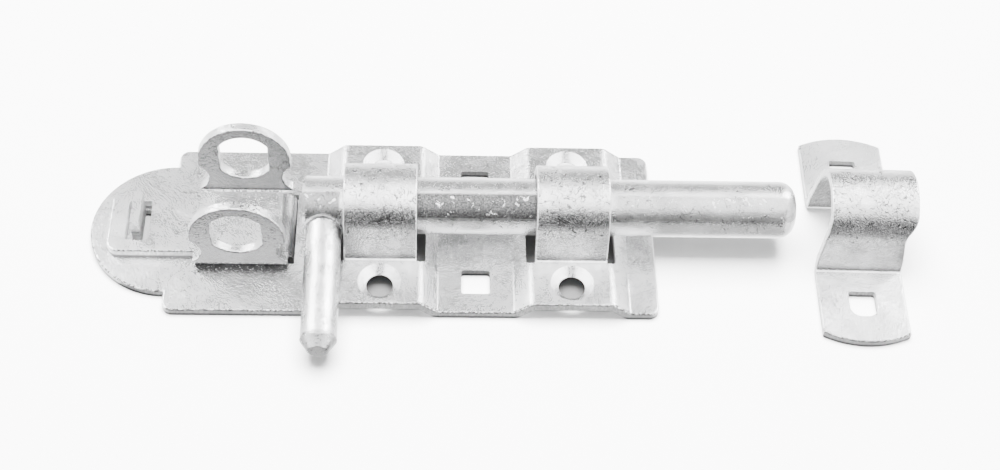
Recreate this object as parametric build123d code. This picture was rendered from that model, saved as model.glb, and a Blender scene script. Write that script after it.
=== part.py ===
"""Sliding bolt with padlock bracket and separate keeper staple.

Origin: underside of the base plate, midway between the two square holes.
+X runs along the rod to its nose, +Y to the rear, +Z up from the surface the plate is screwed to.
Lengths are millimetres, angles are degrees.
"""
import math
import os

from build123d import *

# Base plate: one pressed sheet
PLATE_SHEET = 2.5
PLATE_WIDTH = 57.5
PLATE_NOSE_END_X = 51.0
PLATE_STEP_X = -86.5
PLATE_ROUND_RADIUS = 22.6
PLATE_CORNER_RADIUS = 2.75
PRESS_BEND = 1.0
EDGE_ROUNDING = 0.5

# Raised pads, one under each strap
STRAP_SPACING = 53.5
PAD_TOP_LENGTH = 22.6
PAD_FLANK_RUN = 4.9
PAD_RAISE = 4.0

# Screw holes in the pads and square bolt holes between them
SCREW_SPACING_Y = 42.2
SCREW_HOLE_DIAMETER = 7.5
COUNTERSINK_DIAMETER = 12.1
SQUARE_HOLE_SPACING = 36.4
SQUARE_HOLE_SIZE = 8.1
SQUARE_HOLE_CORNER = 0.8

# Rod
ROD_DIAMETER = 16.0
ROD_TAIL_X = -48.4
ROD_NOSE_X = 89.9
ROD_NOSE_ROUNDING = 4.5
ROD_TAIL_CHAMFER = 0.9
ROD_LIFT = 3.25

# Straps pressed up out of the plate, and the windows that they leave
STRAP_WIDTH = 20.3
STRAP_SIDE_PLAY = 0.9
STRAP_TOP_PLAY = 1.35
STRAP_SPLAY = 13.0
STRAP_FOOT_BEND = 0.7
STRAP_KERF = 2.5
WINDOW_CORNER = 1.6

# Handle, welded square to the rod and at rest against the front flank of the pad
HANDLE_DIAMETER = 10.0
HANDLE_REACH = 46.0
HANDLE_STRAP_GAP = 0.6
HANDLE_DROOP = 8.0
HANDLE_TIP_DIAMETER = 5.7
HANDLE_TIP_LENGTH = 3.2
WELD_SPREAD = 0.3
WELD_HEIGHT = 0.9
HANDLE_SADDLE_CLEARANCE = 0.06

# Padlock bracket: one bent sheet with two lugs
BRACKET_SHEET = 3.0
BRACKET_BEND = 0.8
STRIP_END_X = -103.5
STRIP_WIDTH = 21.6
STRIP_CORNER_RADIUS = 3.5
TAIL_END_X = -51.2
TAIL_BEND = 0.7
TAIL_SETBACK = 0.3
TAIL_SLOT_CLEARANCE = 0.25
TAIL_SLOT_OVERRUN = 1.8
LUG_CENTRE_X = -65.7
LUG_WIDTH = 26.2
LUG_TOP_Z = 30.2
LUG_SPLAY = 2.2
LUG_NECK_WIDTH = 21.2
LUG_NECK_Z = 10.7
LUG_NECK_HALF_HEIGHT = 4.4
LUG_HOLE_WIDTH = 13.6
LUG_HOLE_HEIGHT = 16.2
LUG_HOLE_Z = 18.7

# Stop tab, cut and bent up from the plate through the slot in the strip
TAB_CENTRE_X = -95.3
TAB_LENGTH = 11.2
TAB_TOP_Z = 11.4
TAB_BEND = 0.6
TAB_CUT_KERF = 0.5
SLOT_WIDTH = 6.6
SLOT_LENGTH = 14.2
SLOT_CORNER = 1.0

# Keeper staple, a separate piece for the frame
KEEPER_SHEET = 2.5
KEEPER_CENTRE_X = 109.15
KEEPER_TURN = 1.07
KEEPER_WIDTH = 24.4
KEEPER_LENGTH = 74.4
KEEPER_END_RADIUS = 26.3
KEEPER_SIDE_PLAY = 1.0
KEEPER_TOP_PLAY = 1.65
KEEPER_SPLAY = 6.0
KEEPER_FOOT_BEND = 0.8
KEEPER_ARCH_SHIFT = 1.6
KEEPER_LEAN_Z = 6.0
KEEPER_SHOULDER_Z = 20.5
KEEPER_NECK_Z = 15.2
KEEPER_NECK_DEPTH = 1.1
KEEPER_EDGE_CURVE = 6.0
KEEPER_HOLE_SPACING = 48.6
KEEPER_HOLE_SIZE = 7.9
KEEPER_ROUND_HOLE_LENGTH = 8.4
KEEPER_ROUND_HOLE_CORNER = 3.2

# Worked out from the values above
rod_radius = ROD_DIAMETER / 2
rod_axis_z = PLATE_SHEET + ROD_LIFT + rod_radius
pad_top_z = PLATE_SHEET + PAD_RAISE
pad_centres = (-STRAP_SPACING / 2, STRAP_SPACING / 2)
strip_top_z = PLATE_SHEET + BRACKET_SHEET
waist_bottom_z = LUG_NECK_Z - LUG_NECK_HALF_HEIGHT
flank_angle = math.atan2(PAD_RAISE, PAD_FLANK_RUN)
strap_inner_radius = rod_radius + STRAP_SIDE_PLAY
handle_x = pad_centres[0] - STRAP_WIDTH / 2 - HANDLE_STRAP_GAP - HANDLE_DIAMETER / 2
handle_direction = Vector(0, -math.cos(math.radians(HANDLE_DROOP)), -math.sin(math.radians(HANDLE_DROOP)))
far = 400.0


def bent_sheet(points, inside_bends, thickness):
    """Face of a bent sheet: the middle line runs straight from point to point, with a round bend at each."""
    middle = [Vector(*point) for point in points]
    sides = []
    for side in (1, -1):
        line, radii = [], []
        for index, point in enumerate(middle):
            before = (point - middle[index - 1]).normalized() if index else None
            after = (middle[index + 1] - point).normalized() if index < len(middle) - 1 else None
            into, out = before or after, after or before
            normal_in, normal_out = Vector(-into.Y, into.X), Vector(-out.Y, out.X)
            spread = (normal_in + normal_out) / (1 + normal_in.dot(normal_out))
            line.append(point + spread * (side * thickness / 2))
            if before and after:
                turns_left = into.cross(out).Z > 0
                inside = turns_left == (side > 0)
                bend = inside_bends[index - 1]
                radii.append(bend if inside else bend + thickness)
        sides.append(FilletPolyline(*line, radius=radii))
    near, opposite = sides
    ends = Line(near @ 1, opposite @ 1) + Line(opposite @ 0, near @ 0)
    return make_face(near + opposite + ends)


def leg_foot_y(radius, centre_z, foot_z, splay):
    """Where the straight leg of an arch of that radius comes down to foot_z."""
    lean = math.radians(splay)
    return (radius + (centre_z - foot_z) * math.sin(lean)) / math.cos(lean)


def arch_section(inner_radius, thickness, centre_z, foot_z, splay, bend, reach):
    """Hat-shaped section in Y and Z: round arch, straight legs that splay outwards, and two feet."""
    middle_radius = inner_radius + thickness / 2
    middle_z = foot_z + thickness / 2
    leg_y = leg_foot_y(middle_radius, centre_z, middle_z, splay)
    legs_meet_z = centre_z + middle_radius / math.sin(math.radians(splay))
    points = [(-reach, middle_z), (-leg_y, middle_z), (0, legs_meet_z), (leg_y, middle_z), (reach, middle_z)]
    return bent_sheet(points, [bend, inner_radius, bend], thickness)


def along_x(section, start, end):
    """Solid of a section given in Y and Z, from start to end along X."""
    return Pos(start, 0, 0) * extrude(Plane.YZ * section, amount=end - start)


def through_y(section):
    """Solid of a section given in X and Z, right across the part."""
    return extrude(Plane.XZ * section, amount=far, both=True)


def through_z(section):
    """Solid of a plan outline, right through the part."""
    return extrude(section, amount=far, both=True)


def round_upper_outline(sheet):
    """The same sheet with the upper edge of its outline rounded, as the press leaves it."""
    upper = sheet.faces().filter_by(lambda face: face.normal_at().Z > 0.1)
    cut = sheet.faces().filter_by(lambda face: abs(face.normal_at().Z) < 0.01)
    return fillet(upper.edges() & cut.edges(), EDGE_ROUNDING)


def round_rims(arch, cut_axis=None):
    """The same arch with its outer edges rounded, all of them or those along the cuts square to an axis."""
    reach = arch.bounding_box().max.Y

    def is_outer(face):
        centre = face.center()
        outward = Vector(0, math.copysign(1, centre.Y), 1)
        return abs(centre.Y) < reach - EDGE_ROUNDING and face.normal_at().dot(outward) > 0.1

    outer = arch.faces().filter_by(is_outer)
    cut = arch.faces().filter_by(cut_axis) if cut_axis else arch.faces().filter_by(is_outer, reverse=True)
    return fillet(outer.edges() & cut.edges(), EDGE_ROUNDING)


def make_base_plate():
    middle = PLATE_SHEET / 2
    left = PLATE_STEP_X - PLATE_ROUND_RADIUS
    points = [(left, middle)]
    rise = PAD_TOP_LENGTH / 2 - middle * math.tan(flank_angle / 2)
    for centre in pad_centres:
        points += [
            (centre - rise - PAD_FLANK_RUN, middle),
            (centre - rise, middle + PAD_RAISE),
            (centre + rise, middle + PAD_RAISE),
            (centre + rise + PAD_FLANK_RUN, middle),
        ]
    points.append((PLATE_NOSE_END_X, middle))
    sheet = through_y(bent_sheet(points, [PRESS_BEND] * (len(points) - 2), PLATE_SHEET))

    length = PLATE_NOSE_END_X - PLATE_STEP_X
    wide_part = Pos((PLATE_NOSE_END_X + PLATE_STEP_X) / 2, 0) * RectangleRounded(
        length, PLATE_WIDTH, PLATE_CORNER_RADIUS
    )
    round_end = Pos(PLATE_STEP_X, 0) * Circle(PLATE_ROUND_RADIUS)
    plate = round_upper_outline(sheet & through_z(wide_part + round_end))

    window_width = STRAP_WIDTH + 2 * STRAP_KERF
    strap_centre_z = rod_axis_z + STRAP_TOP_PLAY - STRAP_SIDE_PLAY
    strap_outer_radius = strap_inner_radius + PLATE_SHEET
    strap_foot_y = leg_foot_y(strap_outer_radius, strap_centre_z, pad_top_z, STRAP_SPLAY) + STRAP_FOOT_BEND
    for centre in pad_centres:
        window = Pos(centre, 0) * RectangleRounded(window_width, 2 * strap_foot_y, WINDOW_CORNER)
        plate -= through_z(window)
    for centre in pad_centres:
        strap = arch_section(
            strap_inner_radius,
            PLATE_SHEET,
            strap_centre_z,
            PAD_RAISE,
            STRAP_SPLAY,
            STRAP_FOOT_BEND,
            strap_foot_y + PLATE_SHEET,
        )
        plate += round_rims(along_x(strap, centre - STRAP_WIDTH / 2, centre + STRAP_WIDTH / 2), Axis.X)

    countersink_depth = (COUNTERSINK_DIAMETER - SCREW_HOLE_DIAMETER) / 2
    for centre in pad_centres:
        for side in (-1, 1):
            hole = Cylinder(SCREW_HOLE_DIAMETER / 2, far)
            hole += Pos(0, 0, pad_top_z - countersink_depth / 2) * Cone(
                SCREW_HOLE_DIAMETER / 2, COUNTERSINK_DIAMETER / 2, countersink_depth
            )
            plate -= Pos(centre, side * SCREW_SPACING_Y / 2, 0) * hole
    for side in (-1, 1):
        square = RectangleRounded(SQUARE_HOLE_SIZE, SQUARE_HOLE_SIZE, SQUARE_HOLE_CORNER)
        plate -= through_z(Pos(0, side * SQUARE_HOLE_SPACING / 2) * square)

    tail_slot_width = BRACKET_SHEET + TAIL_BEND + 2 * TAIL_SLOT_CLEARANCE
    tail_slot_x = TAIL_END_X + TAIL_SLOT_CLEARANCE - tail_slot_width / 2
    tail_slot = Pos(tail_slot_x, 0) * Rectangle(tail_slot_width, STRIP_WIDTH + 2 * TAIL_SLOT_OVERRUN)
    plate -= through_z(tail_slot)
    return plate - tab_cut() + stop_tab()


def tab_cut():
    """Opening that the stop tab leaves in the plate, as long as the tab is tall."""
    root_x = TAB_CENTRE_X - PLATE_SHEET / 2 - TAB_BEND
    cut_length = TAB_TOP_Z + TAB_BEND
    cut = Pos(root_x + cut_length / 2, 0) * Rectangle(cut_length, TAB_LENGTH + 2 * TAB_CUT_KERF)
    return through_z(cut)


def stop_tab():
    root_x = TAB_CENTRE_X - PLATE_SHEET / 2 - TAB_BEND
    middle = PLATE_SHEET / 2
    points = [(root_x - 2 * TAB_BEND, middle), (TAB_CENTRE_X, middle), (TAB_CENTRE_X, TAB_TOP_Z)]
    section = bent_sheet(points, [TAB_BEND], PLATE_SHEET)
    return extrude(Plane.XZ * section, amount=TAB_LENGTH / 2, both=True)


def lug_outline():
    """Front view of a lug, in X and Z: rounded head, waist and full-width root."""
    half = LUG_WIDTH / 2
    neck = LUG_NECK_WIDTH / 2
    shoulder_z = LUG_TOP_Z - half
    waist_top = LUG_NECK_Z + LUG_NECK_HALF_HEIGHT
    right = Line((half, 0), (half, waist_bottom_z))
    right += ThreePointArc((half, waist_bottom_z), (neck, LUG_NECK_Z), (half, waist_top))
    right += Line((half, waist_top), (half, shoulder_z))
    head = ThreePointArc((half, shoulder_z), (0, LUG_TOP_Z), (-half, shoulder_z))
    bottom = Line((half, 0), (-half, 0))
    outline = make_face(right + head + mirror(right, Plane.YZ) + bottom)
    round_hole = Circle(LUG_HOLE_HEIGHT / 2) & Rectangle(LUG_HOLE_WIDTH, LUG_HOLE_HEIGHT)
    return Pos(LUG_CENTRE_X, 0) * (outline - Pos(0, LUG_HOLE_Z) * round_hole)


def make_padlock_bracket():
    strip_half = STRIP_WIDTH / 2
    middle_z = PLATE_SHEET + BRACKET_SHEET / 2
    lug_y = strip_half + BRACKET_BEND + BRACKET_SHEET / 2
    rise = LUG_TOP_Z + BRACKET_SHEET - middle_z
    top_y = lug_y + rise * math.tan(math.radians(LUG_SPLAY))
    channel_points = [(-top_y, middle_z + rise), (-lug_y, middle_z), (lug_y, middle_z), (top_y, middle_z + rise)]
    channel = along_x(
        bent_sheet(channel_points, [BRACKET_BEND, BRACKET_BEND], BRACKET_SHEET),
        LUG_CENTRE_X - LUG_WIDTH,
        LUG_CENTRE_X + LUG_WIDTH,
    )
    lugs = channel & through_y(lug_outline())
    lugs -= through_z(Rectangle(far, STRIP_WIDTH))
    flats = lugs.faces().filter_by(lambda face: abs(face.normal_at().Y) > 0.9)
    cuts = lugs.faces().filter_by(lambda face: abs(face.normal_at().Y) < 0.5)
    rims = (flats.edges() & cuts.edges()).filter_by(lambda edge: edge.center().Z > waist_bottom_z)
    lugs = fillet(rims, EDGE_ROUNDING)

    tail_x = TAIL_END_X - BRACKET_SHEET / 2
    strip_points = [(STRIP_END_X, middle_z), (tail_x, middle_z), (tail_x, TAIL_SETBACK)]
    strip = extrude(
        Plane.XZ * bent_sheet(strip_points, [TAIL_BEND], BRACKET_SHEET), amount=strip_half, both=True
    )
    plan_length = far
    plan = Pos(STRIP_END_X + plan_length / 2, 0) * RectangleRounded(plan_length, STRIP_WIDTH, STRIP_CORNER_RADIUS)
    slot = Pos(TAB_CENTRE_X, 0) * RectangleRounded(SLOT_WIDTH, SLOT_LENGTH, SLOT_CORNER)
    strip &= through_z(plan)
    bracket = strip + lugs
    lug_end_x = LUG_CENTRE_X - LUG_WIDTH / 2
    on_top = bracket.edges().filter_by_position(Axis.Z, strip_top_z - 0.01, strip_top_z + 0.01)
    outline = on_top.filter_by(lambda edge: edge.center().X < lug_end_x - EDGE_ROUNDING)
    return fillet(outline, EDGE_ROUNDING) - through_z(slot)


def make_rod():
    length = ROD_NOSE_X - ROD_TAIL_X
    rod = Rot(0, 90, 0) * Cylinder(rod_radius, length)
    ends = rod.edges().filter_by(GeomType.CIRCLE).sort_by(Axis.X)
    rod = chamfer(ends[0], ROD_TAIL_CHAMFER)
    nose = rod.edges().filter_by(GeomType.CIRCLE).sort_by(Axis.X)[-1]
    rod = fillet(nose, ROD_NOSE_ROUNDING)
    return Pos((ROD_NOSE_X + ROD_TAIL_X) / 2, 0, rod_axis_z) * rod


def make_handle():
    """Round bar with a tapered tip and a saddle end that hugs the rod, with the weld around it."""
    radius = HANDLE_DIAMETER / 2
    tip_radius = HANDLE_TIP_DIAMETER / 2
    root = Plane(origin=(handle_x, 0, rod_axis_z), x_dir=(1, 0, 0), z_dir=handle_direction)
    shoulder = HANDLE_REACH - HANDLE_TIP_LENGTH
    bar = root * Pos(0, 0, shoulder / 2) * Cylinder(radius, shoulder)
    bar += root * Pos(0, 0, shoulder + HANDLE_TIP_LENGTH / 2) * Cone(radius, tip_radius, HANDLE_TIP_LENGTH)
    tip_edges = bar.edges().filter_by(GeomType.CIRCLE).sort_by(Axis.Y)[:2]
    bar = fillet(tip_edges, EDGE_ROUNDING)
    weld_radius = radius + WELD_SPREAD
    weld = root * Pos(0, 0, shoulder / 2) * Cylinder(weld_radius, shoulder)
    weld &= rod_sleeve(rod_radius + WELD_HEIGHT)
    return bar + weld - rod_sleeve(rod_radius + HANDLE_SADDLE_CLEARANCE)


def rod_sleeve(radius):
    """Cylinder about the rod's axis, longer than the part."""
    return Pos(0, 0, rod_axis_z) * Rot(0, 90, 0) * Cylinder(radius, far)


def keeper_plan():
    """Outline that the keeper's round ends are cut to, wide enough to clear its sides."""
    circle_y = KEEPER_LENGTH / 2 - KEEPER_END_RADIUS
    ends = [Pos(0, side * circle_y) * Circle(KEEPER_END_RADIUS) for side in (-1, 1)]
    return Rectangle(2 * KEEPER_WIDTH, KEEPER_HOLE_SPACING) + ends


def keeper_front():
    """Outline of the keeper from the front: the arch leans over its feet, with a neck on the far side."""
    half_width = KEEPER_WIDTH / 2
    left = FilletPolyline(
        (-half_width, 0),
        (-half_width, KEEPER_LEAN_Z),
        (-half_width + KEEPER_ARCH_SHIFT, KEEPER_SHOULDER_Z),
        (-half_width + KEEPER_ARCH_SHIFT, far),
        radius=KEEPER_EDGE_CURVE,
    )
    right = FilletPolyline(
        (half_width, 0),
        (half_width, KEEPER_LEAN_Z),
        (half_width - KEEPER_NECK_DEPTH, KEEPER_NECK_Z),
        (half_width + KEEPER_ARCH_SHIFT, KEEPER_SHOULDER_Z),
        (half_width + KEEPER_ARCH_SHIFT, far),
        radius=KEEPER_EDGE_CURVE,
    )
    return make_face(left + right + Line(left @ 0, right @ 0) + Line(left @ 1, right @ 1))


def keeper_round_hole():
    """Bolt hole of the keeper's front foot, square at the back and round at the front."""
    hole = Rectangle(KEEPER_HOLE_SIZE, KEEPER_ROUND_HOLE_LENGTH)
    corners = hole.vertices().sort_by(Axis.Y)
    hole = fillet(corners[:2], KEEPER_ROUND_HOLE_CORNER)
    return fillet(hole.vertices().sort_by(Axis.Y)[-2:], SQUARE_HOLE_CORNER)


def make_keeper():
    section = arch_section(
        rod_radius + KEEPER_SIDE_PLAY,
        KEEPER_SHEET,
        rod_axis_z + KEEPER_TOP_PLAY - KEEPER_SIDE_PLAY,
        0,
        KEEPER_SPLAY,
        KEEPER_FOOT_BEND,
        KEEPER_LENGTH / 2,
    )
    keeper = along_x(section, -KEEPER_WIDTH, KEEPER_WIDTH)
    keeper = round_rims(keeper & through_z(keeper_plan()) & through_y(keeper_front()))
    hole_y = KEEPER_HOLE_SPACING / 2
    square = RectangleRounded(KEEPER_HOLE_SIZE, KEEPER_HOLE_SIZE, SQUARE_HOLE_CORNER)
    keeper -= through_z(Pos(0, hole_y) * square)
    keeper -= through_z(Pos(0, -hole_y) * keeper_round_hole())
    return Pos(KEEPER_CENTRE_X, 0, 0) * Rot(0, 0, -KEEPER_TURN) * keeper


def main():
    os.makedirs("parts", exist_ok=True)
    nodes = {
        "base_plate": make_base_plate(),
        "padlock_bracket": make_padlock_bracket(),
        "bolt_rod": make_rod(),
        "bolt_handle": make_handle(),
        "keeper_staple": make_keeper(),
    }
    for name, solid in nodes.items():
        export_step(solid, f"parts/{name}.step")


main()
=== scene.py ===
import math

import bpy
from mathutils import Matrix, Vector


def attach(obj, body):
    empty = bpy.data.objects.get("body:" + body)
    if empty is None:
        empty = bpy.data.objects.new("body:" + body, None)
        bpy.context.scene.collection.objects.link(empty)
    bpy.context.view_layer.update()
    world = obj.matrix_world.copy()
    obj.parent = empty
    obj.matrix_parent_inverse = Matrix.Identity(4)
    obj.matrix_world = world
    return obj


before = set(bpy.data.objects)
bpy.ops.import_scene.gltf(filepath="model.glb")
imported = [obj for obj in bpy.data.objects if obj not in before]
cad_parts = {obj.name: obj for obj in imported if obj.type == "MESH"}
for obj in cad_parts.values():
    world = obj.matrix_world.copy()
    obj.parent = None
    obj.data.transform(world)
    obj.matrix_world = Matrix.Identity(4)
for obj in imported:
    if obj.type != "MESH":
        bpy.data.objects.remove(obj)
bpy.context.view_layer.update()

# Sliding bolt in bright zinc plate, on a white studio table. Lengths are metres.

# Camera, as it stands to the plate in the photograph
CAMERA_PLACE = (-0.01242, -0.30668, 0.39070)
CAMERA_DOWN = 0.90333
CAMERA_TURN = 0.06376
CAMERA_ROLL = 0.06216
CAMERA_LENS = 62.19

# Plate, bracket, rod and handle, from the drawing
PLATE_SHEET = 0.0025
PAD_TOP_Z = 0.0065
BRACKET_TOP_Z = 0.0055
ROUND_END_X = -0.0865
SCREW_X = 0.02675
SCREW_Y = 0.0211
ARCH_CENTRE_Z = 0.0143
TAIL_BEND_X = -0.0556
ROD_AXIS_Z = 0.01375
ROD_RADIUS = 0.008
HANDLE_X = -0.0425
HANDLE_DROOP = math.radians(8)

# Weld bead round the handle's root
WELD_RADIUS = 0.0048
WELD_HALF_THICKNESS = 0.00055
WELD_LIFT = 0.0002
WELD_RINGS = 72
WELD_RIPPLES = 13
WELD_RIPPLE_HEIGHT = 0.00007
WELD_TAIL_SPREAD = 0.0005

# Dim card under the plate, faintly glowing, painted shade seen only in reflections
CARD_PLACE = (-0.029, 0, -0.0005)
CARD_SIZE = (0.142, 0.046, 1)
CARD_GLOW = 0.35


def set_camera():
    level = math.cos(CAMERA_DOWN)
    forward = Vector((math.sin(CAMERA_TURN) * level, math.cos(CAMERA_TURN) * level, -math.sin(CAMERA_DOWN)))
    right = Vector((math.cos(CAMERA_TURN), -math.sin(CAMERA_TURN), 0))
    up = right.cross(forward)
    across = right * math.cos(CAMERA_ROLL) + up * math.sin(CAMERA_ROLL)
    upward = up * math.cos(CAMERA_ROLL) - right * math.sin(CAMERA_ROLL)
    bpy.ops.object.camera_add()
    camera = bpy.context.object
    camera.name = "photo_camera"
    camera.matrix_world = Matrix.Translation(CAMERA_PLACE) @ Matrix((across, upward, -forward)).transposed().to_4x4()
    camera.data.sensor_width = 36
    camera.data.lens = CAMERA_LENS
    bpy.context.scene.camera = camera


class Nodes:
    """Shader nodes, put together one at a time."""

    def __init__(self, tree):
        self.tree = tree

    def add(self, kind, **settings):
        node = self.tree.nodes.new(kind)
        for name, value in settings.items():
            setattr(node, name, value)
        return node

    def join(self, value, socket):
        if isinstance(value, bpy.types.NodeSocket):
            self.tree.links.new(value, socket)
        else:
            socket.default_value = value

    def math(self, operation, *values):
        node = self.add("ShaderNodeMath", operation=operation)
        for value, socket in zip(values, node.inputs):
            self.join(value, socket)
        return node.outputs[0]

    def product(self, first, *others):
        for other in others:
            first = self.math("MULTIPLY", first, other)
        return first

    def most(self, first, *others):
        for other in others:
            first = self.math("MAXIMUM", first, other)
        return first

    def step(self, value, start, end, low=0.0, high=1.0):
        """Smooth change from low to high as the value goes from start to end."""
        node = self.add("ShaderNodeMapRange", interpolation_type="SMOOTHSTEP")
        numbers = {"Value": value, "From Min": start, "From Max": end, "To Min": low, "To Max": high}
        for name, number in numbers.items():
            self.join(number, node.inputs[name])
        return node.outputs["Result"]

    def band(self, value, low, high, soft):
        """One between low and high, fading to nothing over the soft width outside."""
        rising = self.step(value, low - soft, low)
        return self.product(rising, self.step(value, high, high + soft, 1.0, 0.0))

    def reach(self, across, along):
        """Distance from the point where both are nothing."""
        squares = self.math("ADD", self.product(across, across), self.product(along, along))
        return self.math("SQRT", squares)

    def split(self, vector):
        node = self.add("ShaderNodeSeparateXYZ")
        self.join(vector, node.inputs[0])
        return node.outputs["X"], node.outputs["Y"], node.outputs["Z"]


class Finish(Nodes):
    """A metal finish in the piece's own coordinates."""

    def __init__(self, name):
        self.material = bpy.data.materials.new(name)
        self.material.use_nodes = True
        super().__init__(self.material.node_tree)
        self.shader = self.tree.nodes["Principled BSDF"]
        coordinates = self.add("ShaderNodeTexCoord")
        self.place = coordinates.outputs["Object"]
        self.x, self.y, self.z = self.split(self.place)
        facing = self.split(coordinates.outputs["Normal"])
        self.faces_x, self.faces_y, self.faces_z = (self.math("ABSOLUTE", part) for part in facing)

    def turned(self, axis_z):
        """Angle round an axis that runs along the bolt, from the top towards the front, in degrees."""
        height = self.math("SUBTRACT", self.z, axis_z)
        angle = self.math("ARCTAN2", self.math("MULTIPLY", self.y, -1.0), height)
        return self.math("DEGREES", angle)

    def noise(self, scale, detail=3.0, roughness=0.6, stretch=None, twist=0.0):
        node = self.add("ShaderNodeTexNoise")
        place = self.place
        if stretch:
            mapping = self.add("ShaderNodeMapping")
            self.join(place, mapping.inputs["Vector"])
            self.join(stretch, mapping.inputs["Scale"])
            place = mapping.outputs["Vector"]
        self.join(place, node.inputs["Vector"])
        numbers = {"Scale": scale, "Detail": detail, "Roughness": roughness, "Distortion": twist}
        for name, number in numbers.items():
            self.join(number, node.inputs[name])
        return node.outputs["Fac"]

    def squiggles(self, scale, width, share):
        """Thin broken lines, as where zinc has crinkled."""
        line = self.math("ABSOLUTE", self.math("SUBTRACT", self.noise(scale, 2, 0.5, twist=1.5), 0.5))
        here = self.step(self.noise(scale * 0.6, 2, 0.5), share, share + 0.04)
        return self.product(self.step(line, width * 0.4, width, 1.0, 0.0), here)

    def mixed(self, kind, share, first, second):
        node = self.add("ShaderNodeMix", data_type=kind)
        for name, value in (("Factor", share), ("A", first), ("B", second)):
            sockets = [socket for socket in node.inputs if socket.name == name and socket.enabled]
            self.join(value, sockets[0])
        return [socket for socket in node.outputs if socket.enabled][0]

    def mix(self, share, first, second):
        """Two colours."""
        return self.mixed("RGBA", share, first, second)

    def blend(self, share, first, second):
        """Two numbers."""
        return self.mixed("FLOAT", share, first, second)

    def bump(self, height, depth, under=None):
        node = self.add("ShaderNodeBump")
        self.join(height, node.inputs["Height"])
        self.join(depth, node.inputs["Distance"])
        self.join(1.0, node.inputs["Strength"])
        if under is not None:
            self.join(under, node.inputs["Normal"])
        return node.outputs["Normal"]

    def finish(self, colour, roughness, normal):
        self.shader.inputs["Metallic"].default_value = 1.0
        self.join(colour, self.shader.inputs["Base Color"])
        self.join(roughness, self.shader.inputs["Roughness"])
        self.join(normal, self.shader.inputs["Normal"])
        return self.material


def grey(value):
    """A grey with the faint blue of zinc."""
    return (value, value * 1.003, value * 1.008, 1)


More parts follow.
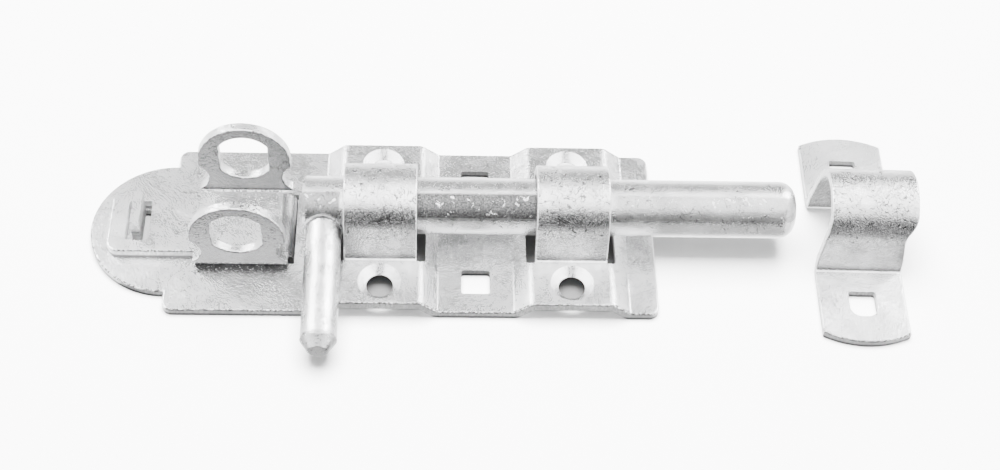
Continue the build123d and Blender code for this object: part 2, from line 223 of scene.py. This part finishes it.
def zinc_sheet_finish(name, sheet_bottom, sheet_top, rim_y, face_shade, reflection_band_angles, lug_shadow=0.0):
    """Zinc over pressed sheet: speckle, crinkles, flakes, sheared sides and a burred rim, with painted shade,
    painted highlights and painted dark reflections in the colour.

    The sheet lies from sheet_bottom up to sheet_top, and its burred rim is past rim_y. Faces to the front and rear
    take painted shade by face_shade, a painted dark reflection band lies across the arches between
    reflection_band_angles, and lug_shadow is painted shade on a lug's bent root and on the tail's bend.
    """
    zinc = Finish(name)
    speckle = zinc.noise(2600, 2, 0.7)
    crinkle = zinc.noise(520, 3, 0.55, twist=1.2)
    blotch = zinc.noise(95, 4, 0.6)
    mottle = zinc.noise(420, 4, 0.7)
    flakes = zinc.step(zinc.noise(640, 3, 0.6, twist=0.6), 0.66, 0.72)
    pits = zinc.step(zinc.noise(1900, 3, 0.8), 0.61, 0.70)
    raised = zinc.product(zinc.step(zinc.z, 0.012, 0.016), zinc.step(zinc.faces_x, 0.5, 0.7, 1.0, 0.0))
    lines = zinc.product(zinc.squiggles(340, 0.030, 0.40), zinc.math("MULTIPLY_ADD", raised, 0.80, 0.10))
    # Painted shade on faces to the front and rear: darker close to the sheet they rise from, and by face_shade all
    # over.
    shade_near_base = zinc.step(zinc.z, sheet_top + 0.0002, sheet_top + 0.0030, 0.70, 0.0)
    face_shade_weight = zinc.math("ADD", shade_near_base, face_shade)
    above_sheet = zinc.step(zinc.z, sheet_top, sheet_top + 0.0002)
    painted_face_shade = zinc.product(zinc.step(zinc.faces_y, 0.80, 0.95), above_sheet, face_shade_weight)

    low_down = zinc.step(zinc.z, sheet_top - 0.0001, sheet_top + 0.0001, 1.0, 0.0)
    low_side = zinc.product(low_down, zinc.step(zinc.faces_z, 0.15, 0.35, 1.0, 0.0))
    cut = zinc.most(zinc.step(zinc.faces_x, 0.80, 0.92), low_side)
    torn = zinc.noise(2600, 3, 0.7, stretch=(1, 1, 0.3))
    width = zinc.math("ABSOLUTE", zinc.y)
    past_round = zinc.math("SUBTRACT", ROUND_END_X, zinc.x)
    round_reach = zinc.reach(past_round, zinc.y)
    at_round = zinc.product(zinc.step(past_round, 0.0, 0.0005), zinc.step(round_reach, 0.0219, 0.0221))
    rim = zinc.product(
        zinc.band(zinc.faces_z, 0.08, 0.97, 0.02),
        zinc.most(zinc.step(width, rim_y, rim_y + 0.0002), at_round),
        zinc.step(zinc.z, sheet_top, sheet_top + 0.0004, 1.0, 0.0),
    )
    # Painted shade on the lower outside of each lug's bend, just above the bracket's sheet.
    shade_under_lug = zinc.product(
        zinc.step(width, 0.0112, 0.0118),
        zinc.step(zinc.z, 0.0037, 0.0052, lug_shadow, 0.0),
    )
    # Painted shade on the bracket's tail where it bends down into the plate.
    shade_on_tail_bend = zinc.product(
        zinc.step(zinc.x, TAIL_BEND_X, TAIL_BEND_X + 0.001),
        zinc.step(width, 0.0104, 0.0108, lug_shadow, 0.0),
    )
    # Speckled burr along the rim, darkened by a painted dark reflection; the lugs' upper rims get the same dark
    # speckle.
    burr_and_dark_reflection = zinc.product(rim, zinc.step(zinc.noise(1500, 4, 0.8), 0.42, 0.54))
    lug_rim = zinc.product(
        zinc.band(zinc.faces_y, 0.55, 0.93, 0.03),
        zinc.step(zinc.z, 0.0075, 0.0085),
        face_shade,
    )
    burr_and_dark_reflection = zinc.most(burr_and_dark_reflection, zinc.product(lug_rim, zinc.step(zinc.noise(900, 4, 0.8), 0.40, 0.56)))
    # Painted contact shadow along the bottom of the sheared sides.
    near_bottom = zinc.step(zinc.z, sheet_bottom + 0.0006, sheet_bottom + 0.0013, 0.85, 0.0)
    contact_shadow = zinc.product(low_side, near_bottom)

    # Painted dark reflection band across the front of the arches, broken into speckle.
    at_angle = zinc.band(zinc.turned(ARCH_CENTRE_Z), *reflection_band_angles, 15)
    on_arch = zinc.product(raised, at_angle, 0.95 * (1.0 - face_shade))
    dark_reflection_band = zinc.product(on_arch, zinc.step(zinc.noise(3200, 3, 0.85), 0.36, 0.60, 0.30, 1.0))

    from_screw_x = zinc.math("SUBTRACT", zinc.math("ABSOLUTE", zinc.x), SCREW_X)
    from_screw_y = zinc.math("SUBTRACT", width, SCREW_Y)
    screw_reach = zinc.reach(from_screw_x, from_screw_y)
    # Painted highlight: the countersinks are painted near-white, with a narrow painted dark reflection at the middle
    # of each one's rear wall.
    countersink_highlight = zinc.product(
        zinc.step(screw_reach, 0.0060, 0.0062, 1.0, 0.0),
        zinc.step(zinc.faces_z, 0.90, 0.96, 1.0, 0.0),
    )
    behind_screw = zinc.product(zinc.math("SIGN", zinc.y), from_screw_y)
    countersink_dark_reflection = zinc.product(
        zinc.step(zinc.math("ABSOLUTE", from_screw_x), 0.0006, 0.0014, 1.0, 0.0),
        zinc.step(behind_screw, 0.0, 0.0010),
        zinc.step(zinc.noise(2600, 3, 0.85), 0.42, 0.56),
    )

    base = zinc.mix(zinc.step(blotch, 0.36, 0.66), grey(0.62), grey(0.86))
    base = zinc.mix(zinc.step(mottle, 0.46, 0.72, 0.0, 0.7), base, grey(0.44))
    base = zinc.mix(zinc.product(cut, zinc.step(torn, 0.42, 0.66)), base, grey(0.45))
    base = zinc.mix(pits, base, grey(0.30))
    # Painted highlight in the countersinks, then painted dark reflections, painted shade and painted contact shadow;
    # pits and crinkle lines are the zinc's own.
    base = zinc.mix(countersink_highlight, base, grey(0.98))
    base = zinc.mix(zinc.product(countersink_highlight, countersink_dark_reflection), base, grey(0.22))
    base = zinc.mix(painted_face_shade, base, grey(0.26))
    base = zinc.mix(dark_reflection_band, base, grey(0.06))
    base = zinc.mix(contact_shadow, base, grey(0.05))
    base = zinc.mix(shade_under_lug, base, grey(0.04))
    base = zinc.mix(shade_on_tail_bend, base, grey(0.22))
    base = zinc.mix(lines, base, grey(0.10))
    base = zinc.mix(burr_and_dark_reflection, base, grey(0.08))
    rough = zinc.blend(zinc.step(blotch, 0.30, 0.70), 0.13, 0.22)
    rough = zinc.blend(cut, rough, 0.36)
    rough = zinc.blend(zinc.most(burr_and_dark_reflection, pits), rough, 0.5)

    normal = zinc.bump(crinkle, 0.00005)
    normal = zinc.bump(speckle, 0.00011, normal)
    normal = zinc.bump(zinc.math("SUBTRACT", flakes, zinc.most(pits, lines)), 0.00004, normal)
    normal = zinc.bump(zinc.product(cut, torn), 0.00008, normal)
    return zinc.finish(base, rough, normal)


def zinc_bar_finish():
    """Zinc over drawn bar: speckle and crinkles, a painted dark reflection band in speckle along the rod's front, a
    speckled darker tip and painted dark reflections on the handle's sides.
    """
    zinc = Finish("zinc_bar_bright")
    speckle = zinc.noise(2600, 2, 0.7)
    crinkle = zinc.noise(620, 3, 0.55, twist=1.0)
    blotch = zinc.noise(140, 4, 0.6)
    drawn = zinc.noise(900, 2, 0.5, stretch=(0.12, 1, 1))
    pits = zinc.step(zinc.noise(1900, 3, 0.8), 0.60, 0.70)

    # Painted dark reflection band along the front of the rod where it shows, broken into speckle; the handle's tip
    # is darkened in speckle too.
    on_front = zinc.band(zinc.turned(ROD_AXIS_Z), 17, 62, 9)
    between_straps = zinc.band(zinc.x, -0.0165, 0.0165, 0.0015)
    at_tail = zinc.step(zinc.x, -0.0385, -0.0375, 0.80, 0.0)
    near_rod = zinc.step(zinc.y, -0.0085, -0.0080)
    on_nose = zinc.step(zinc.x, 0.036, 0.040, 0.0, 0.60)
    dark_reflection_band = zinc.product(on_front, zinc.most(between_straps, at_tail, on_nose), near_rod)
    tip = zinc.step(zinc.y, -0.0425, -0.0415, 0.6, 0.0)
    flakes = zinc.step(zinc.noise(520, 3, 0.6, twist=0.8), 0.635, 0.67)
    grains = zinc.step(zinc.noise(2600, 3, 0.85), 0.40, 0.56, 0.80, 1.0)
    dark = zinc.product(zinc.most(dark_reflection_band, tip), grains, zinc.math("SUBTRACT", 1.0, flakes))
    # Painted dark reflection on the handle's sides, in speckle.
    handle_side_reflection = zinc.product(
        zinc.step(zinc.y, -0.0095, -0.0085, 1.0, 0.0),
        zinc.step(zinc.faces_x, 0.62, 0.95),
        zinc.step(zinc.noise(1500, 3, 0.8), 0.36, 0.60, 0.2, 0.8),
    )
    lines = zinc.squiggles(330, 0.022, 0.50)

    base = zinc.mix(zinc.step(blotch, 0.36, 0.66), grey(0.66), grey(0.88))
    base = zinc.mix(pits, base, grey(0.30))
    base = zinc.mix(zinc.product(lines, 0.8), base, grey(0.10))
    base = zinc.mix(handle_side_reflection, base, grey(0.16))
    base = zinc.mix(dark, base, grey(0.05))
    rough = zinc.blend(zinc.step(blotch, 0.30, 0.70), 0.12, 0.20)
    rough = zinc.blend(zinc.most(dark, pits), rough, 0.45)

    normal = zinc.bump(crinkle, 0.00007)
    normal = zinc.bump(drawn, 0.00003, normal)
    normal = zinc.bump(speckle, 0.00011, normal)
    normal = zinc.bump(zinc.math("MULTIPLY", zinc.most(dark, pits), -1.0), 0.00004, normal)
    return zinc.finish(base, rough, normal)


def dress(node, material):
    """Put the material in every slot of a piece from the drawing."""
    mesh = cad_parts[node].data
    if not mesh.materials:
        mesh.materials.append(material)
    for index in range(len(mesh.materials)):
        mesh.materials[index] = material


def lay_weld(material):
    """Rippled weld bead where the handle meets the rod, laid ring by ring along the joint."""
    root = Vector((HANDLE_X, 0, ROD_AXIS_Z))
    outward = Vector((0, -math.cos(HANDLE_DROOP), -math.sin(HANDLE_DROOP)))
    sideways = Vector((1, 0, 0))
    upward = outward.cross(sideways)
    reach = ROD_RADIUS + WELD_LIFT
    centre = root + outward * reach
    bpy.ops.mesh.primitive_torus_add(
        major_segments=WELD_RINGS,
        minor_segments=12,
        major_radius=WELD_RADIUS,
        minor_radius=WELD_HALF_THICKNESS,
        location=centre,
        rotation=outward.to_track_quat("Z", "X").to_euler(),
    )
    bead = bpy.context.object
    bead.name = "handle_weld"
    bpy.ops.object.transform_apply(location=True, rotation=True, scale=True)
    angles = []
    for corner in bead.data.vertices:
        arm = corner.co - centre
        angles.append(math.atan2(arm.dot(upward), arm.dot(sideways)) % math.tau)
    bpy.ops.object.mode_set(mode="EDIT")
    for ring in range(WELD_RINGS):
        bpy.ops.mesh.select_all(action="DESELECT")
        bpy.ops.object.mode_set(mode="OBJECT")
        turn = ring * math.tau / WELD_RINGS
        for corner, angle in zip(bead.data.vertices, angles):
            apart = abs((angle - turn + math.pi) % math.tau - math.pi)
            corner.select = apart < 0.5 * math.tau / WELD_RINGS
        bpy.ops.object.mode_set(mode="EDIT")
        radial = sideways * math.cos(turn) + upward * math.sin(turn)
        dip = math.sqrt(reach**2 - (WELD_RADIUS * math.sin(turn)) ** 2) - reach
        ripple = WELD_RIPPLE_HEIGHT * math.sin(turn * WELD_RIPPLES)
        spread = WELD_TAIL_SPREAD * (1 - math.cos(turn)) / 2
        bpy.ops.transform.translate(value=outward * (dip + ripple) + radial * (spread + ripple))
    bpy.ops.object.mode_set(mode="OBJECT")
    bpy.ops.object.shade_smooth()
    bead.data.materials.append(material)
    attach(bead, "handle")


def lay_table():
    """White table with painted shadow under the plate's hollows, and the dim card that stands for them in
    reflections.
    """
    bpy.ops.mesh.primitive_plane_add(size=3, location=(0, 0, 0))
    table = bpy.context.object
    table.name = "table"
    white = Finish("table_white")
    across = white.math("ABSOLUTE", white.y)
    along = white.math("ABSOLUTE", white.x)
    # Painted shadow on the table under the plate's hollow pads and under the tab's slot.
    shadow_under_pads = white.product(
        white.band(along, 0.0135, 0.0405, 0.001),
        white.step(across, 0.0255, 0.0265, 1.0, 0.0),
    )
    shadow_under_slot = white.product(
        white.band(white.x, -0.097, -0.081, 0.001),
        white.step(across, 0.0085, 0.0095, 1.0, 0.0),
    )
    colour = white.mix(shadow_under_pads, (0.93, 0.93, 0.93, 1), (0.10, 0.10, 0.10, 1))
    colour = white.mix(shadow_under_slot, colour, (0.35, 0.35, 0.35, 1))
    white.join(colour, white.shader.inputs["Base Color"])
    white.shader.inputs["Roughness"].default_value = 0.9
    table.data.materials.append(white.material)
    table.visible_glossy = False

    # In reflections the tent takes the table's place, so a dim, faintly glowing card under the plate paints the
    # shade of its hollows into the reflections
    bpy.ops.mesh.primitive_plane_add(size=1, location=CARD_PLACE)
    card = bpy.context.object
    card.name = "shadow_card"
    bpy.ops.object.mode_set(mode="EDIT")
    bpy.ops.transform.resize(value=CARD_SIZE, center_override=CARD_PLACE)
    bpy.ops.object.mode_set(mode="OBJECT")
    dim = Finish("card_dim")
    dim.shader.inputs["Base Color"].default_value = (0.02, 0.02, 0.02, 1)
    dim.shader.inputs["Roughness"].default_value = 0.9
    dim.shader.inputs["Emission Color"].default_value = (1, 1, 1, 1)
    dim.shader.inputs["Emission Strength"].default_value = CARD_GLOW
    card.data.materials.append(dim.material)
    card.visible_camera = False
    card.visible_diffuse = False
    card.visible_shadow = False


def hang_light(name, place, size, brightness, on_metal=True):
    """A rectangular lamp, turned to the middle of the table. It is seen in the metal or it lights the table."""
    bpy.ops.object.light_add(type="AREA", location=place)
    lamp = bpy.context.object
    lamp.name = name
    lamp.data.shape = "RECTANGLE"
    lamp.data.size, lamp.data.size_y = size
    lamp.data.energy = brightness * size[0] * size[1] * 4
    lamp.rotation_euler = (-Vector(place)).to_track_quat("-Z", "Y").to_euler()
    lamp.visible_glossy = on_metal
    lamp.visible_diffuse = not on_metal


def light_studio():
    """A tent seen in the metal, with a dark gap in front and a floor, two softboxes and two table lamps."""
    world = bpy.data.worlds.new("studio")
    bpy.context.scene.world = world
    world.use_nodes = True
    world.cycles_visibility.diffuse = False
    tent = Nodes(world.node_tree)
    background = world.node_tree.nodes["Background"]
    x, y, z = tent.split(tent.add("ShaderNodeTexCoord").outputs["Generated"])
    sideways = tent.math("ABSOLUTE", x)
    cloth = tent.step(y, 0.22, 0.42, 7.0, 1.05)
    gap = tent.product(
        tent.step(sideways, 0.42, 0.62, 1.0, 0.0),
        tent.step(y, -0.30, -0.10, 1.0, 0.0),
        tent.step(z, 0.50, 0.74, 1.0, 0.0),
    )
    upper = tent.product(cloth, tent.math("SUBTRACT", 1.0, gap))
    upper = tent.math("MULTIPLY_ADD", gap, 0.02, upper)
    in_front = tent.step(y, -0.2, 0.1, 1.0, 0.0)
    floor_line = tent.step(in_front, 0.0, 1.0, 0.0, -0.18)
    above = tent.step(tent.math("SUBTRACT", z, floor_line), -0.05, 0.05)
    floor = tent.step(in_front, 0.0, 1.0, 5.5, 1.1)
    lit = tent.math("MULTIPLY_ADD", above, tent.math("SUBTRACT", upper, floor), floor)
    tent.join(lit, background.inputs["Color"])
    background.inputs["Strength"].default_value = 1
    hang_light("softbox_left", (-0.66, 0.43, 0.61), (0.30, 0.5), 26)
    hang_light("softbox_right", (0.66, 0.43, 0.61), (0.30, 0.5), 26)
    hang_light("floor_lamp_rear", (0, 0.28, 1.15), (1.0, 0.9), 52, on_metal=False)
    hang_light("floor_lamp_top", (0, -0.1, 1.1), (1.0, 0.8), 4, on_metal=False)


bpy.ops.object.select_all(action="DESELECT")
set_camera()
light_studio()
lay_table()
plate_zinc = zinc_sheet_finish("zinc_plate_bright", 0.0, PAD_TOP_Z, 0.0280, 0.15, (52, 64))
bracket_zinc = zinc_sheet_finish(
    "zinc_bracket_bright", PLATE_SHEET, BRACKET_TOP_Z, 0.0102, 1.0, (52, 64), lug_shadow=0.9
)
keeper_zinc = zinc_sheet_finish("zinc_keeper_bright", 0.0, PLATE_SHEET, 0.0325, 0.25, (60, 74))
dress("base_plate", plate_zinc)
dress("padlock_bracket", bracket_zinc)
dress("keeper_staple", keeper_zinc)
bar_zinc = zinc_bar_finish()
for bar_node in ("bolt_rod", "bolt_handle"):
    dress(bar_node, bar_zinc)
lay_weld(bar_zinc)
